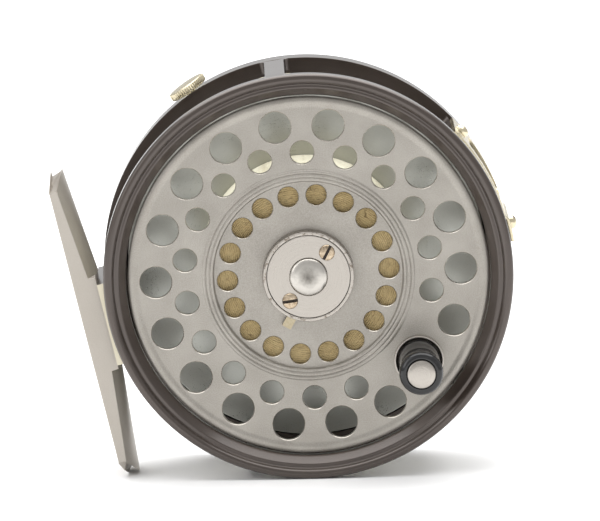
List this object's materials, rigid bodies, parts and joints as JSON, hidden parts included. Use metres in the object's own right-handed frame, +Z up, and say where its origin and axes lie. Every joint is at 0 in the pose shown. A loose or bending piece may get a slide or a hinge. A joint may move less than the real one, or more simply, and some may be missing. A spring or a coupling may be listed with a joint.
{
  "type": "fly reel",
  "caption": "Single-action fly reel: a pillared cage with a reel foot and line guard, and a perforated spool with a crank handle that turns against a click-pawl check.",
  "frame": {"origin": "centre of the bounding box's footprint, on the surface that the reel rests on with its rims and the foot's lower tip", "axes": "+Z up; the spindle lies along Y with the spool's face and handle towards -Y; the foot is on the -X side and the line guard on the +X side"},
  "size_m": [0.098, 0.0476, 0.0858],
  "materials": {
    "cage_lacquer": "satin",
    "spool_lacquer": "satin",
    "polished_alloy": "polished",
    "foot_alloy": "satin",
    "nickel_silver": "polished",
    "steel": "polished",
    "spring_steel": "satin",
    "brass": "satin",
    "knob_black": "gloss",
    "braided_backing": "matte"
  },
  "bodies": {
    "frame": {"frame_front_ring": "cage_lacquer", "frame_back_plate": "cage_lacquer", "frame_pillar_top": "cage_lacquer", "frame_pillar_guard_upper": "cage_lacquer", "frame_pillar_guard_lower": "cage_lacquer", "frame_pillar_lower_1": "cage_lacquer", "frame_pillar_lower_2": "cage_lacquer", "frame_foot_pillar": "cage_lacquer", "reel_foot": "foot_alloy", "foot_screw_1": "steel", "foot_screw_2": "steel", "line_guard": "nickel_silver", "guard_screw_1": "nickel_silver", "guard_screw_2": "nickel_silver", "spindle": "steel", "spindle_nut": "steel", "pawl_post_1": "steel", "spring_stud_1": "steel", "check_spring_1": "spring_steel", "pawl_post_2": "steel", "spring_stud_2": "steel", "check_spring_2": "spring_steel"},
    "spool": {"spool_front_flange": "spool_lacquer", "spool_rear_flange": "spool_lacquer", "spool_drum": "spool_lacquer", "spindle_bush": "brass", "ratchet_gear": "steel", "gear_screw_1": "steel", "gear_screw_2": "steel", "gear_screw_3": "steel", "wound_line": "braided_backing", "hub_housing": "polished_alloy", "latch_spring": "spring_steel", "hub_cover": "polished_alloy", "spindle_cap": "polished_alloy", "cover_screw_1": "nickel_silver", "cover_screw_2": "nickel_silver", "handle_washer": "polished_alloy", "handle_pin": "polished_alloy"},
    "latch": {"latch_lever": "nickel_silver"},
    "knob": {"handle_knob": "knob_black"},
    "pawl_left": {"pawl_1": "steel"},
    "pawl_right": {"pawl_2": "steel"},
    "adjuster": {"check_adjuster": "nickel_silver"},
    "saddle": {"check_saddle": "brass"}
  },
  "joints": [
    {"name": "spool_spin", "type": "hinge", "parent": "frame", "child": "spool", "pos_m": [0.0048, -0.00625, 0.0429], "axis": [0, 1, 0], "continuous": true},
    {"name": "knob_spin", "type": "hinge", "parent": "spool", "child": "knob", "pos_m": [0.02764, -0.01525, 0.02447], "axis": [0, 1, 0], "continuous": true},
    {"name": "latch_release", "type": "hinge", "parent": "spool", "child": "latch", "pos_m": [0.00874, -0.00625, 0.04794], "axis": [0, -1, 0], "range_deg": [0, 4.5], "stiffness_Nm_per_rad": 0.05, "springref_deg": -2.86},
    {"name": "check_adjust", "type": "hinge", "parent": "frame", "child": "adjuster", "pos_m": [-0.01923, 0.0184, 0.07892], "axis": [-0.5548, 0, 0.832], "range_deg": [0, 720]},
    {"name": "saddle_travel", "type": "slide", "parent": "frame", "child": "saddle", "axis": [0.5548, 0, -0.832], "range_m": [0, 0.0008]},
    {"name": "pawl_left_rock", "type": "hinge", "parent": "frame", "child": "pawl_left", "pos_m": [-0.01292, 0.0184, 0.04856], "axis": [0, 1, 0], "range_deg": [-12, 12], "stiffness_Nm_per_rad": 0.02},
    {"name": "pawl_right_rock", "type": "hinge", "parent": "frame", "child": "pawl_right", "pos_m": [0.00638, 0.0184, 0.06143], "axis": [0, 1, 0], "range_deg": [-12, 12], "stiffness_Nm_per_rad": 0.02}
  ],
  "couplings": [
    {"joint": "check_adjust", "follows": "saddle_travel", "rad_per_m": 15708}
  ]
}
